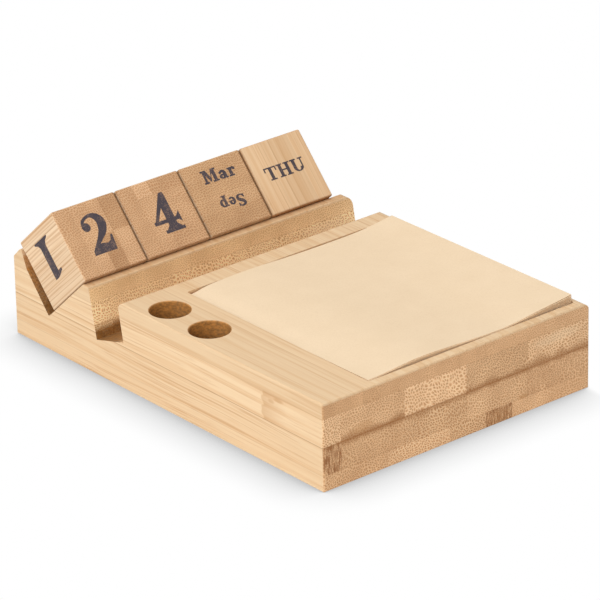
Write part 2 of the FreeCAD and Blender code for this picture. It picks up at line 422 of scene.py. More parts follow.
def end_tint(tree, strip, here, across_grain, hollows):
    """Tint of a cut end, from the strip's left edge to its right one, with painted light on the slot's back
    wall.
    """
    left, right = across_grain
    share = add_node(tree, "ShaderNodeMapRange", {}, {
        "Value": here["X"], "From Min": left, "From Max": right})[0]
    tint = add_node(tree, "ShaderNodeMix", BLEND, {
        0: share, 6: tone_tint(strip.left), 7: tone_tint(strip.right)})[2]
    if hollows:
        # painted light makes the slot's leaning back wall nearly of one tone along its whole length
        wall_foot = (SLOT_FRONT + SLOT_BACK) / 2
        wall_middle = (wall_foot + SLOT_BACK) / 2
        on_wall = add_node(tree, "ShaderNodeMath", NEAR,
                           {0: here["Y"], 1: wall_middle, 2: SLOT_BACK - wall_middle + 0.6})[0]
        # and paler towards its foot, where the painted light is strongest
        climb = add_node(tree, "ShaderNodeMapRange", {}, {
            "Value": here["Z"], "From Min": 20.0, "From Max": 29.0})[0]
        wall_light = add_node(tree, "ShaderNodeMix", BLEND, {
            0: climb, 6: (1.47, 1.77, 1.90, 1), 7: (1.20, 1.35, 1.33, 1)})[2]
        even = add_node(tree, "ShaderNodeMath", SCALE, {0: on_wall, 1: 0.85})[0]
        tint = add_node(tree, "ShaderNodeMix", BLEND, {0: even, 6: tint, 7: wall_light})[2]
    return tint


def skin_at_seam(tree, strip, mm, here, end):
    """Brown the cut end in a wavy band at the seam between the boards, where the dense skin side lies."""
    look = bpy.context.scene.desk_calendar_bamboo
    wave_at = add_node(tree, "ShaderNodeVectorMath", SCALE_AND_SHIFT,
                       {0: mm, 1: (0.14, 0.01, 0.0), 2: (strip.seed, 0, 0)})[0]
    wave = add_node(tree, "ShaderNodeTexNoise", {}, {"Vector": wave_at, "Scale": 1.0, "Detail": 2.0})[0]
    wave = add_node(tree, "ShaderNodeMapRange", {}, {
        "Value": wave, "From Min": 0.3, "From Max": 0.7,
        "To Min": 0.4 * strip.seam_reach, "To Max": 2.0 * strip.seam_reach})[0]
    away = add_node(tree, "ShaderNodeMath", DIFFERENCE, {0: here["Z"], 1: board_seam / MM})[0]
    away = add_node(tree, "ShaderNodeMath", SIZE, {0: away})[0]
    skin = add_node(tree, "ShaderNodeMapRange", SOFT_STEP, {
        "Value": away, "From Min": 0.0, "From Max": wave, "To Min": strip.seam, "To Max": 0.0})[0]
    return add_node(tree, "ShaderNodeMix", BLEND, {0: skin, 6: end, 7: tuple(look.skin)})[2]


def cane_joint(tree, strip, here, band, side):
    """Add a joint of the cane: a tan band across the fibres with a sharp end."""
    look = bpy.context.scene.desk_calendar_bamboo
    ragged = add_node(tree, "ShaderNodeMath", SCALE_AND_SHIFT, {0: band, 1: 1.2, 2: here["Y"]})[0]
    rising = add_node(tree, "ShaderNodeMapRange", {}, {
        "Value": ragged, "From Min": strip.knuckle - 11.0, "From Max": strip.knuckle})[0]
    beyond = add_node(tree, "ShaderNodeMapRange", SOFT_STEP, {
        "Value": ragged, "From Min": strip.knuckle + 0.4, "From Max": strip.knuckle + 1.2,
        "To Min": 0.40, "To Max": 0.0})[0]
    knuckle = add_node(tree, "ShaderNodeMath", SCALE, {0: rising, 1: beyond})[0]
    return add_node(tree, "ShaderNodeMix", BLEND, {0: knuckle, 6: side, 7: tuple(look.side_line)})[2]


def fibre_spots(tree, strip, grain, base):
    """Add the strip's own spots, which are darker or paler than the fibres about them."""
    look = bpy.context.scene.desk_calendar_bamboo
    for centre, radii, strength in strip.marks:
        off = add_node(tree, "ShaderNodeVectorMath", SCALE_AND_SHIFT, {
            0: grain, 1: [1 / r for r in radii], 2: [-c / r for c, r in zip(centre, radii)]})[0]
        off = add_node(tree, "ShaderNodeVectorMath", LENGTH, {0: off})["Value"]
        spot = add_node(tree, "ShaderNodeMapRange", SOFT_STEP, {
            "Value": off, "From Min": 0.35, "From Max": 1.0, "To Min": abs(strength), "To Max": 0.0})[0]
        colour = look.side_line if strength > 0 else look.side_pale
        base = add_node(tree, "ShaderNodeMix", BLEND, {0: spot, 6: base, 7: tuple(colour)})[2]
    return base


def glue_lines(tree, here, glue_x, glue_z, base):
    """Add faint glue lines between the strips, and a darker one between the two boards."""
    look = bpy.context.scene.desk_calendar_bamboo
    for axis, places in (("X", glue_x), ("Z", glue_z)):
        for seam in places:
            depth = 0.5 if axis == "Z" and abs(seam - board_seam / MM) < 0.1 else 0.16
            away = add_node(tree, "ShaderNodeMath", DIFFERENCE, {0: here[axis], 1: seam})[0]
            away = add_node(tree, "ShaderNodeMath", SIZE, {0: away})[0]
            glue = add_node(tree, "ShaderNodeMapRange", SOFT_STEP, {
                "Value": away, "From Min": 0.04, "From Max": 0.24, "To Min": depth, "To Max": 0.0})[0]
            base = add_node(tree, "ShaderNodeMix", BLEND, {0: glue, 6: base, 7: tuple(look.skin)})[2]
    return base


def bamboo(name, strip, place, turn, fibre, across_grain=(0.0, 25.0), glue_x=(), glue_z=(), plies=None,
           hollows=False, eased_at=0.0):
    """Sawn, sanded and oiled bamboo: lines along the grain on its sides, and dots on its cut ends.

    place and turn bring the piece's own coordinates into millimetres with the fibres along Y.
    """
    look = bpy.context.scene.desk_calendar_bamboo
    material, tree = new_surface(name)
    coords = add_node(tree, "ShaderNodeTexCoord")
    mm = add_node(tree, "ShaderNodeMapping", {"vector_type": "POINT"}, {
        "Vector": coords["Object"], "Location": place, "Rotation": turn,
        "Scale": (1000, 1000, 1000)})["Vector"]
    here = add_node(tree, "ShaderNodeSeparateXYZ", {}, {"Vector": mm})
    # 1 where the surface cuts across the fibres, 0 where it runs along them
    facing = add_node(tree, "ShaderNodeVectorMath", {"operation": "DOT_PRODUCT"},
                      {0: coords["Normal"], 1: fibre})["Value"]
    facing = add_node(tree, "ShaderNodeMath", SIZE, {0: facing})[0]
    cut_end = add_node(tree, "ShaderNodeMapRange", SOFT_STEP,
                       {"Value": facing, "From Min": 0.30, "From Max": 0.85})[0]
    if eased_at:
        # sanding rounds the upper edge over, so that its topmost millimetre shows side grain; the paler
        # side-grain colour there also paints the light that a rounder edge would catch
        rounded_edge_light = add_node(tree, "ShaderNodeMapRange", SOFT_STEP, {
            "Value": here["Z"], "From Min": eased_at - 1.2, "From Max": eased_at - 0.4,
            "To Min": 1.0, "To Max": 0.15})[0]
        cut_end = add_node(tree, "ShaderNodeMath", SCALE, {0: cut_end, 1: rounded_edge_light})[0]

    grain, row = swaying_fibres(tree, strip, mm)
    dots, net = fibre_bundles(tree, strip, row, across_grain)
    band, line, dash, blotch, pores = grain_patterns(tree, grain)
    side = side_grain(tree, strip, row, band, line, dash)
    end = end_grain(tree, strip, here, grain, dots, net, pores, blotch)
    tint = end_tint(tree, strip, here, across_grain, hollows)
    end = add_node(tree, "ShaderNodeVectorMath", SCALE, {0: end, 1: tint})[0]
    if strip.seam:
        end = skin_at_seam(tree, strip, mm, here, end)
    if strip.knuckle is not None:
        side = cane_joint(tree, strip, here, band, side)
    base = add_node(tree, "ShaderNodeMix", BLEND, {0: cut_end, 6: side, 7: end})[2]
    base = fibre_spots(tree, strip, grain, base)
    base = glue_lines(tree, here, glue_x, glue_z, base)
    if plies:
        base = thin_plies(tree, here, cut_end, base, **plies)
    # painted shade in the hollows and on the top of the ridge
    if hollows:
        base = paint_hollow_shade(tree, coords["Normal"], mm, here, base)

    relief = add_node(tree, "ShaderNodeMath", SCALE, {0: dots, 1: cut_end})[0]
    relief = add_node(tree, "ShaderNodeMath", SHIFT, {0: relief, 1: line})[0]
    bump = add_node(tree, "ShaderNodeBump", {"invert": True},
                    {"Strength": 0.35, "Distance": 0.04 * MM, "Height": relief})[0]
    rough = add_node(tree, "ShaderNodeMapRange", {}, {
        "Value": pores, "To Min": look.roughness - 0.08, "To Max": look.roughness + 0.10})[0]
    shader = add_node(tree, "ShaderNodeBsdfPrincipled", {},
                      {"Base Color": base, "Roughness": rough, "Normal": bump, "Specular IOR Level": 0.3})[0]
    add_node(tree, "ShaderNodeOutputMaterial", {}, {"Surface": shader})
    return material


def paint_hollow_shade(tree, normal, mm, here, base):
    """Paint shade on the top of the ridge and on the walls of the pen holes, the phone slot and the V groove.
    """
    look = bpy.context.scene.desk_calendar_bamboo
    # painted shade on the top of the ridge between the slot and the groove, beside the date blocks
    ridge_middle = (SLOT_BACK + GROOVE_FRONT) / 2
    on_ridge = add_node(tree, "ShaderNodeMath", NEAR,
                        {0: here["Y"], 1: ridge_middle, 2: GROOVE_FRONT - ridge_middle + 0.6})[0]
    up = add_node(tree, "ShaderNodeSeparateXYZ", {}, {"Vector": normal})
    ridge_shade = add_node(tree, "ShaderNodeMapRange", SOFT_STEP, {
        "Value": up["Z"], "From Min": 0.5, "From Max": 0.9, "To Min": 0.0, "To Max": 0.48})[0]
    ridge_shade = add_node(tree, "ShaderNodeMath", SCALE, {0: ridge_shade, 1: on_ridge})[0]
    base = add_node(tree, "ShaderNodeMix", BLEND, {0: ridge_shade, 6: base, 7: tuple(look.side_line)})[2]

    shares = []
    # painted shade on the walls of the pen holes
    for x, y in PEN_HOLES:
        out = add_node(tree, "ShaderNodeVectorMath", SCALE_AND_SHIFT,
                       {0: mm, 1: (1, 1, 0), 2: (-x, -y, 0)})[0]
        out = add_node(tree, "ShaderNodeVectorMath", LENGTH, {0: out})["Value"]
        shares.append(add_node(tree, "ShaderNodeMapRange", SOFT_STEP, {
            "Value": out, "From Min": PEN_HOLE_RADIUS + 0.1, "From Max": PEN_HOLE_RADIUS + 0.35,
            "To Min": 0.88, "To Max": 0.0})[0])
    # painted shade in the lowest part of the slot, but not on the block's outer faces that it runs out
    # through
    low = add_node(tree, "ShaderNodeMapRange", SOFT_STEP, {
        "Value": here["Z"], "From Min": 13.8, "From Max": 18.8, "To Min": 0.92, "To Max": 0.0})[0]
    slot_middle = (SLOT_FRONT + SLOT_BACK) / 2
    in_slot = add_node(tree, "ShaderNodeMath", NEAR,
                       {0: here["Y"], 1: slot_middle, 2: SLOT_BACK - slot_middle + 0.5})[0]
    inner = add_node(tree, "ShaderNodeMath", NEAR, {0: up["X"], 1: 0.0, 2: 0.7})[0]
    low = add_node(tree, "ShaderNodeMath", SCALE, {0: low, 1: in_slot})[0]
    shares.append(add_node(tree, "ShaderNodeMath", SCALE, {0: low, 1: inner})[0])
    # painted shade on the slopes of the groove, which face both along and up
    slope = add_node(tree, "ShaderNodeMath", SCALE, {0: up["Y"], 1: up["Z"]})[0]
    slope = add_node(tree, "ShaderNodeMath", SIZE, {0: slope})[0]
    slope = add_node(tree, "ShaderNodeMapRange", SOFT_STEP, {
        "Value": slope, "From Min": 0.25, "From Max": 0.45, "To Min": 0.0, "To Max": 0.82})[0]
    groove_middle = (GROOVE_FRONT + GROOVE_BACK) / 2
    behind = add_node(tree, "ShaderNodeMath", NEAR,
                      {0: here["Y"], 1: groove_middle, 2: GROOVE_BACK - groove_middle})[0]
    shares.append(add_node(tree, "ShaderNodeMath", SCALE, {0: slope, 1: behind})[0])
    total = shares[0]
    for share in shares[1:]:
        total = add_node(tree, "ShaderNodeMath", LARGER, {0: total, 1: share})[0]
    # torn fibres 1 mm wide, and painted shade that deepens towards the bottom of a hole
    torn_at = add_node(tree, "ShaderNodeVectorMath", SCALE, {0: mm, 1: (0.9, 0.9, 1.4)})[0]
    torn = add_node(tree, "ShaderNodeTexNoise", {}, {"Vector": torn_at, "Scale": 1.0, "Detail": 3.0})[0]
    torn = add_node(tree, "ShaderNodeMapRange", {}, {
        "Value": torn, "From Min": 0.35, "From Max": 0.65, "To Min": 0.62, "To Max": 1.25})[0]
    deeper_shade = add_node(tree, "ShaderNodeMapRange", {}, {
        "Value": here["Z"], "From Min": 18.0, "From Max": 29.5, "To Min": 0.55, "To Max": 1.15})[0]
    torn = add_node(tree, "ShaderNodeMath", SCALE, {0: torn, 1: deeper_shade})[0]
    # the colour of the painted shade, textured by the torn fibres
    wall = add_node(tree, "ShaderNodeVectorMath", {"operation": "SCALE"}, {
        0: tuple(look.hollow_shade)[:3], "Scale": torn})[0]
    return add_node(tree, "ShaderNodeMix", BLEND, {0: total, 6: base, 7: wall})[2]


def thin_plies(tree, here, cut_end, base, across, size, split, upper, lower, sides, hue, shut, up):
    """Give the thin plies that a date block is glued from their own tones.

    upper and lower are (millimetres, tone) pairs for the two halves that split divides on a cut end,
    and sides are such pairs up the block's other faces. A tone of 1 leaves the wood as it is. hue is a
    factor for each colour channel, shut names the ends that lie against another block, and up is the axis
    that runs up the printed side.
    """
    other = "Z" if across == "X" else "X"
    along = add_node(tree, "ShaderNodeMath", {"operation": "DIVIDE"}, {0: here[across], 1: size})[0]
    tones = []
    for plies in (upper, lower):
        stops = []
        for number, (place, tone) in enumerate(plies):
            if number:
                # a glue line 0.2 mm wide in front of each ply but the first
                stops.append(((place - 0.1) / size, half_tint(0.86 * tone)))
                place += 0.1
            stops.append((place / size, half_tint(tone)))
        tones.append(add_node(tree, "ShaderNodeValToRGB", {}, {"Fac": along}, stops, True)["Color"])
    below = add_node(tree, "ShaderNodeMath", {"operation": "LESS_THAN"}, {0: here[other], 1: split})[0]
    tone = add_node(tree, "ShaderNodeMix", BLEND, {0: below, 6: tones[0], 7: tones[1]})[2]
    if sides:
        height = add_node(tree, "ShaderNodeMath", {"operation": "DIVIDE"}, {0: here["Z"], 1: size})[0]
        side_tone = add_node(tree, "ShaderNodeValToRGB", {}, {"Fac": height},
                             [(place / size, half_tint(tone_)) for place, tone_ in sides])["Color"]
        tone = add_node(tree, "ShaderNodeMix", BLEND, {0: cut_end, 6: side_tone, 7: tone})[2]
    base = add_node(tree, "ShaderNodeVectorMath", SCALE, {0: base, 1: tone})[0]
    # the tones are halves, and this doubles them again
    base = add_node(tree, "ShaderNodeVectorMath", SCALE, {0: base, 1: [2 * channel for channel in hue]})[0]
    # painted shade darkens the edges that lie against the next block or the ridge
    edge_shade = add_node(tree, "ShaderNodeMapRange", SOFT_STEP, {
        "Value": here[up], "From Min": 0.1, "From Max": 0.8, "To Min": 0.5, "To Max": 0.0})[0]
    ends = {"left": (0.7, 0.1, 0.4), "right": (24.6, 25.2, 0.62)}
    for start, end, strength in [ends[side] for side in shut]:
        gap = add_node(tree, "ShaderNodeMapRange", SOFT_STEP, {
            "Value": here["X"], "From Min": start, "From Max": end, "To Min": 0.0, "To Max": strength})[0]
        edge_shade = add_node(tree, "ShaderNodeMath", LARGER, {0: edge_shade, 1: gap})[0]
    return add_node(tree, "ShaderNodeMix", BLEND, {0: edge_shade, 6: base, 7: EDGE_SHADE})[2]


# Strips of the block by material slot, with places in millimetres from its front left corner
STRIPS = {
    "top_ply_1": Strip(0.86, 1.00, side=0.875, lines=0.5, bundles=0.30, spacing=0.85, bend=0.0, seed=1.0),
    "top_ply_2": Strip(0.90, 1.04, side=0.915, lines=0.6, bundles=0.36, spacing=0.85, bend=0.0, seed=2.0),
    "top_ply_3": Strip(1.03, side=0.92, bundles=0.34, spacing=0.85, bend=0.0, seed=3.0),
    "top_ply_4": Strip(1.03, side=0.90, bundles=0.34, spacing=0.85, bend=0.0, seed=4.0),
    "top_ply_5": Strip(1.03, side=0.91, bundles=0.40, spacing=0.85, bend=0.0, seed=5.0),
    "upper_core_1": Strip(1.10, 1.20, side=0.965, bundles=0.60, seam=0.30, seam_reach=1.4, seed=6.0,
                          knuckle=28.5, marks=(
                              ((0, 21, 23.4), (30, 3.2, 1.0), 0.45), ((0, 24.5, 22.0), (30, 2.0, 1.0), 0.35),
                              ((0, 90, 23.8), (30, 50, 0.4), 0.45), ((0, 115, 17.4), (30, 42, 0.4), 0.40))),
    "upper_core_2": Strip(1.10, 1.02, bundles=0.50, bend=0.012, seam=0.68, seam_reach=2.2, seed=7.0,
                          marks=(((15.5, 0, 17.0), (6.0, 400, 2.6), 0.40),)),
    "upper_core_3": Strip(1.26, 1.28, bundles=0.50, spacing=1.35, lean=0.15, bend=0.004, seam=0.30,
                          seam_reach=0.9, seed=8.0),
    "upper_core_4": Strip(0.98, 0.91, bundles=0.62, lean=0.5, bend=-0.010, seam=0.62, seam_reach=1.8,
                          seed=9.0),
    "upper_core_5": Strip(1.12, bundles=0.62, spacing=1.15, bend=0.015, seam=0.66, seam_reach=3.0, seed=10.0,
                          marks=(((97, 0, 22.5), (14, 400, 2.6), -0.30),)),
    "lower_core_1": Strip(0.95, side=0.915, bundles=0.50, spacing=0.85, streak=0.85, seam=0.35,
                          seam_reach=1.2, seed=11.0, marks=(
                              ((0, 62, 11.6), (30, 58, 0.4), 0.50), ((0, 50, 6.6), (30, 48, 0.4), 0.45))),
    "lower_core_2": Strip(0.90, 0.97, bundles=0.50, bend=0.020, seam=0.66, seam_reach=1.8, seed=12.0),
    "lower_core_3": Strip(0.97, bundles=0.58, spacing=1.15, bend=0.030, seam=0.55, seam_reach=2.2, seed=13.0),
    "lower_core_4": Strip(1.09, 0.98, bundles=0.55, bend=-0.020, seam=0.62, seam_reach=1.4, seed=14.0,
                          marks=(((82.0, 0, 6.3), (3.4, 400, 1.3), 0.55),)),
    "lower_core_5": Strip(1.04, 1.08, bundles=0.48, bend=0.020, streak=0.25, seam=0.50, seam_reach=1.4,
                          seed=15.0),
    "bottom_ply_1": Strip(0.98, 1.06, side=0.905, bundles=0.50, bend=0.020, seed=17.0),
    "bottom_ply_2": Strip(1.16, bundles=0.55, bend=0.030, seed=18.0),
    "bottom_ply_3": Strip(0.97, 0.95, bundles=0.65, streak=0.8, streak_from=66.5, bend=-0.020, seed=19.0,
                          marks=(((72, 0, 2.6), (7, 400, 3.0), 0.2),)),
    "bottom_ply_4": Strip(1.13, bundles=0.42, seed=20.0),
    "bottom_ply_5": Strip(1.13, bundles=0.42, seed=21.0),
}

# Date blocks, with places in millimetres from the left and lower edges of the printed side
DATE_BLOCKS = {
    "tens_block": dict(
        strip=Strip(0.815, bundles=0.28, net=3.4, bend=0.0, flow=0.6, lines=1.0, rings=0.42, seed=31.0),
        grain="down slope",
        plies=dict(across="X", size=25.5, split=13.0, hue=(0.97, 0.975, 1.03), shut=("right",), up="Z",
                   upper=((0.0, 1.01), (6.4, 1.05), (12.7, 1.05), (18.5, 0.85)),
                   lower=((0.0, 1.00), (6.4, 1.08), (12.7, 0.80), (18.5, 1.09)),
                   sides=((0.0, 0.92), (15.5, 0.94), (17.0, 1.03), (21.0, 1.03), (21.4, 0.76),
                          (21.8, 0.98)))),
    "units_block": dict(
        strip=Strip(0.835, bundles=0.28, net=3.4, bend=0.0, flow=0.6, lines=2.0, seed=32.0),
        grain="down slope",
        plies=dict(across="X", size=25.5, split=20.2, hue=(0.97, 0.975, 1.03), shut=("left", "right"), up="Z",
                   upper=((0.0, 0.97), (6.3, 1.22), (12.7, 0.93)),
                   lower=((0.0, 0.98), (6.3, 1.03), (12.7, 0.98)),
                   sides=((0.0, 1.0), (25.0, 1.0)))),
    "month_block": dict(
        strip=Strip(0.805, bundles=0.28, net=3.4, bend=0.0, flow=0.6, lines=2.0, seed=33.0),
        grain="down slope",
        plies=dict(across="Z", size=25.4, split=0.0, hue=(0.96, 0.98, 1.02), shut=("left", "right"), up="Z",
                   upper=((0.0, 0.93), (7.0, 1.01), (13.1, 0.97), (19.0, 1.02)),
                   lower=((0.0, 0.93), (7.0, 1.01), (13.1, 0.97), (19.0, 1.02)),
                   sides=((0.0, 1.0), (25.0, 1.0)))),
    "weekday_block": dict(
        strip=Strip(0.88, side=0.84, bundles=0.46, bend=0.0, flow=0.6, lines=0.8, seed=34.0),
        grain="off slope",
        plies=dict(across="X", size=25.5, split=0.0, hue=(1.01, 0.97, 0.955), shut=("left",), up="Y",
                   upper=((0.0, 1.06), (7.0, 1.03), (8.4, 1.00), (11.3, 0.94), (19.5, 1.03), (22.0, 1.02)),
                   lower=((0.0, 1.06), (7.0, 1.03), (8.4, 1.00), (11.3, 0.94), (19.5, 1.03), (22.0, 1.02)),
                   sides=())),
}


def ink_surface():
    """Water-based stamping ink on sanded wood: matt, a little worn, with the pores showing through."""
    look = bpy.context.scene.desk_calendar_print
    material, tree = new_surface("Matt stamping ink")
    coords = add_node(tree, "ShaderNodeTexCoord")
    # specks 0.4 mm wide, 2400 to the metre, and patches 3 mm wide where the stamp pressed less
    specks = add_node(tree, "ShaderNodeTexNoise", {}, {
        "Vector": coords["Object"], "Scale": 2400.0, "Detail": 3.0})[0]
    patches = add_node(tree, "ShaderNodeTexNoise", {}, {
        "Vector": coords["Object"], "Scale": 330.0, "Detail": 2.0})[0]
    worn = add_node(tree, "ShaderNodeMath", SCALE_AND_SHIFT, {0: patches, 1: 0.6, 2: specks})[0]
    worn = add_node(tree, "ShaderNodeMapRange", SOFT_STEP,
                    {"Value": worn, "From Min": 0.78, "From Max": 1.08, "To Min": 0.0, "To Max": 0.7})[0]
    base = add_node(tree, "ShaderNodeMix", BLEND, {0: worn, 6: tuple(look.ink), 7: WORN_INK})[2]
    shader = add_node(tree, "ShaderNodeBsdfPrincipled", {},
                      {"Base Color": base, "Roughness": 0.75, "Specular IOR Level": 0.2})[0]
    add_node(tree, "ShaderNodeOutputMaterial", {}, {"Surface": shader})
    return material


def paper_surface(name, edge_share):
    """Unbleached kraft paper: a warm matt sheet with short fibres, and browner cut edges."""
    look = bpy.context.scene.desk_calendar_memo
    material, tree = new_surface(name)
    coords = add_node(tree, "ShaderNodeTexCoord")
    # fibres 0.5 mm long, 2000 to the metre, and clouds 8 mm across
    fibres = add_node(tree, "ShaderNodeTexNoise", {}, {
        "Vector": coords["Object"], "Scale": 2000.0, "Detail": 3.0})[0]
    cloud = add_node(tree, "ShaderNodeTexNoise", {}, {
        "Vector": coords["Object"], "Scale": 120.0, "Detail": 2.0})[0]
    tone = add_node(tree, "ShaderNodeMapRange", {}, {
        "Value": cloud, "From Min": 0.3, "From Max": 0.7, "To Min": 0.0, "To Max": 0.10})[0]
    base = add_node(tree, "ShaderNodeMix", BLEND, {0: tone, 6: tuple(look.paper), 7: PAPER_CLOUD})[2]
    tone = add_node(tree, "ShaderNodeMapRange", {}, {
        "Value": fibres, "From Min": 0.45, "From Max": 0.75, "To Min": 0.0, "To Max": 0.12})[0]
    base = add_node(tree, "ShaderNodeMix", BLEND, {0: tone, 6: base, 7: PAPER_FIBRE})[2]
    upright = add_node(tree, "ShaderNodeSeparateXYZ", {}, {"Vector": coords["Normal"]})["Z"]
    upright = add_node(tree, "ShaderNodeMath", SIZE, {0: upright})[0]
    cut_edge = add_node(tree, "ShaderNodeMapRange", {}, {
        "Value": upright, "From Min": 0.2, "From Max": 0.7, "To Min": edge_share, "To Max": 0.0})[0]
    # the sheets show in their pile as lines 0.4 mm high, darker with painted shade where the sheets part
    layer_at = add_node(tree, "ShaderNodeVectorMath", SCALE, {0: coords["Object"], 1: (50, 50, 2500)})[0]
    layers = add_node(tree, "ShaderNodeTexNoise", {}, {"Vector": layer_at, "Scale": 1.0, "Detail": 2.0})[0]
    layers = add_node(tree, "ShaderNodeMapRange", {}, {
        "Value": layers, "From Min": 0.4, "From Max": 0.7, "To Min": 0.0, "To Max": 0.5})[0]
    pile = add_node(tree, "ShaderNodeMix", BLEND, {0: layers, 6: tuple(look.edge), 7: PAPER_GAP_SHADE})[2]
    base = add_node(tree, "ShaderNodeMix", BLEND, {0: cut_edge, 6: base, 7: pile})[2]
    bump = add_node(tree, "ShaderNodeBump", {}, {
        "Strength": 0.15, "Distance": 0.03 * MM, "Height": fibres})[0]
    shader = add_node(tree, "ShaderNodeBsdfPrincipled", {},
                      {"Base Color": base, "Roughness": 0.85, "Specular IOR Level": 0.2, "Normal": bump})[0]
    add_node(tree, "ShaderNodeOutputMaterial", {}, {"Surface": shader})
    return material


# ---------------------------------------------------------------- printed glyphs

# Outlines of a bold slab-serif face, in hundredths of the capital height.
#   bar   x0, y0, x1, y1                          an upright rectangle
#   poly  corners                                 a straight-sided shape
#   arc   cx, cy, rx, ry, from, to, side, top     part of an oval ring, thick at its sides
#   pen   (x, y, width) points                    a stroke that swells and thins
#   dot   cx, cy, radius                          a ball terminal
NUMERALS = {
    "0": (80, (("arc", 40, 50, 40, 50, 0, 360, 26, 8),)),
    "1": (62, (("poly", (18, 6), (44, 6), (44, 100), (30, 100), (18, 96)),
               ("poly", (0, 0), (62, 0), (62, 4), (50, 9), (44, 18), (18, 18), (12, 9), (0, 4)),
               ("poly", (32, 100), (22, 98), (2, 90), (2, 84), (20, 86)))),
    "2": (69, (("dot", 13, 71, 11),
               ("pen", (5, 70, 8), (10, 87, 8), (30, 96, 8), (47, 90, 17), (56, 74, 24), (50, 54, 21),
                (34, 36, 13), (17, 20, 9), (6, 7, 10)),
               ("poly", (1, 0), (65, 0), (69, 38), (64, 38), (58, 25), (49, 21), (34, 24), (18, 23),
                (3, 9)))),
    "3": (76, (("dot", 17, 80, 13),
               ("pen", (8, 82, 8), (20, 94, 9), (40, 96, 9), (56, 88, 18), (60, 75, 25), (52, 60, 16),
                (34, 54, 8)),
               ("pen", (30, 54, 8), (52, 50, 14), (64, 38, 26), (64, 24, 27), (52, 8, 16), (34, 4, 9),
                (16, 8, 9), (8, 20, 9)), ("dot", 17, 24, 14))),
    "4": (75, (("poly", (36, 4), (60, 4), (60, 90), (58, 100), (49, 100), (36, 78)),
               ("poly", (47, 100), (57, 93), (14, 34), (0, 34), (0, 27)), ("bar", 0, 25, 73, 34),
               ("poly", (64, 30), (76, 18), (76, 46), (64, 34)), ("bar", 20, 0, 76, 8),
               ("poly", (24, 6), (36, 18), (60, 18), (72, 6)))),
    "5": (76, (("bar", 8, 52, 16, 100), ("poly", (8, 100), (8, 78), (50, 80), (70, 100)),
               ("pen", (12, 56, 8), (24, 63, 8), (42, 64, 10), (58, 54, 20), (64, 34, 27), (56, 14, 20),
                (38, 4, 9), (18, 8, 9), (9, 20, 9)), ("dot", 17, 24, 14))),
    "6": (78, (("arc", 40, 32, 38, 32, 0, 360, 24, 8), ("dot", 60, 80, 12),
               ("pen", (66, 88, 8), (50, 96, 8), (32, 90, 16), (18, 70, 24), (13, 48, 25), (14, 32, 24)))),
    "7": (74, (("poly", (0, 72), (8, 72), (14, 82), (40, 78), (74, 92), (74, 100), (4, 100), (0, 100)),
               ("pen", (70, 94, 10), (56, 70, 13), (42, 48, 19), (34, 26, 25), (32, 0, 28)))),
    "8": (78, (("arc", 39, 74, 32, 26, 0, 360, 20, 8), ("arc", 39, 28, 39, 28, 0, 360, 25, 8))),
}
